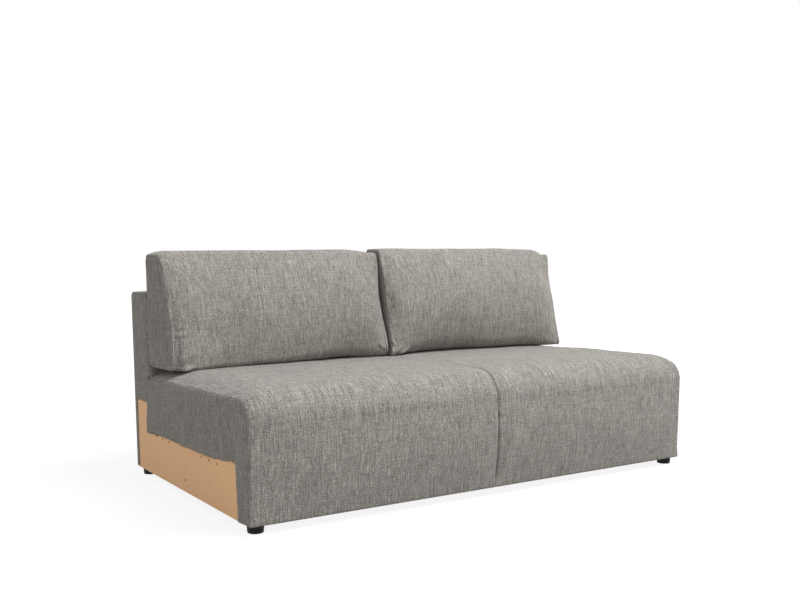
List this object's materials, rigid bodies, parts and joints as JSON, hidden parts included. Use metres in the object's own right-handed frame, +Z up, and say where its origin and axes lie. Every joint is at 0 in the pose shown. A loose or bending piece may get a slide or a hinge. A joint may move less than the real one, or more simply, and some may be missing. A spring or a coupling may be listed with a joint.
{
  "type": "armless sofa",
  "caption": "Armless sofa with a boarded base on short round feet, a rounded crowned seat in fitted cover, a low upholstered back frame and loose wedge-shaped back cushions.",
  "frame": {"origin": "on the floor, in the middle of the sofa from end to end and from front to rear", "axes": "+X runs across the sofa to the right as a person sees it from the front, +Y to the rear, +Z up"},
  "size_m": [1.8, 1.02, 0.8223],
  "materials": {
    "cover_fabric": "heathered grey woven upholstery fabric",
    "board": "bare medium-density fibreboard",
    "timber": "sawn softwood",
    "hardboard": "hardboard",
    "spring_steel": "oiled spring wire",
    "zinc_steel": "zinc-plated steel",
    "felt": "needled felt",
    "foam": "polyurethane foam",
    "wadding": "polyester wadding",
    "dust_cloth": "black non-woven cloth",
    "foot_plastic": "moulded black plastic",
    "zip_tape": "woven polyester tape with a nylon coil"
  },
  "bodies": {
    "root": {"side_board_left": "board", "side_board_right": "board", "front_board": "board", "centre_divider": "board", "front_spring_rail": "timber", "rear_spring_rail": "timber", "base_front_rail": "timber", "base_rear_rail": "timber", "corner_blocks": "timber", "back_top_rail": "board", "back_uprights": "board", "back_front_hardboard": "hardboard", "back_rear_hardboard": "hardboard", "dowels": "timber", "seat_springs_left": "spring_steel", "seat_springs_right": "spring_steel", "spring_clips": "zinc_steel", "spring_tie_wires": "spring_steel", "spring_felt": "felt", "seat_foam_left": "foam", "seat_foam_right": "foam", "front_pad_left": "foam", "front_pad_right": "foam", "back_wadding": "wadding", "seat_cover_left": "cover_fabric", "seat_cover_right": "cover_fabric", "end_fabric_left": "cover_fabric", "end_fabric_right": "cover_fabric", "back_cover": "cover_fabric", "back_end_fabric_left": "cover_fabric", "back_end_fabric_right": "cover_fabric", "dust_cover": "dust_cloth", "foot_front_left": "foot_plastic", "foot_front_right": "foot_plastic", "foot_rear_left": "foot_plastic", "foot_rear_right": "foot_plastic", "foot_screws": "zinc_steel"},
    "left_cushion": {"cushion_cover_left": "cover_fabric", "cushion_core_left": "foam", "cushion_zip_left": "zip_tape"},
    "right_cushion": {"cushion_cover_right": "cover_fabric", "cushion_core_right": "foam", "cushion_zip_right": "zip_tape"},
    "left_zip": {"zip_slider_left": "zinc_steel", "zip_pull_left": "zinc_steel"},
    "right_zip": {"zip_slider_right": "zinc_steel", "zip_pull_right": "zinc_steel"}
  },
  "joints": [
    {"name": "left_cushion_lift", "type": "slide", "parent": "root", "child": "left_cushion", "axis": [0, 0, 1], "range_m": [0, 0.45]},
    {"name": "right_cushion_lift", "type": "slide", "parent": "root", "child": "right_cushion", "axis": [0, 0, 1], "range_m": [0, 0.45]},
    {"name": "left_zip_slide", "type": "slide", "parent": "left_cushion", "child": "left_zip", "axis": [-1, 0, 0], "range_m": [0, 0.65]},
    {"name": "right_zip_slide", "type": "slide", "parent": "right_cushion", "child": "right_zip", "axis": [1, 0, 0], "range_m": [0, 0.65]}
  ]
}
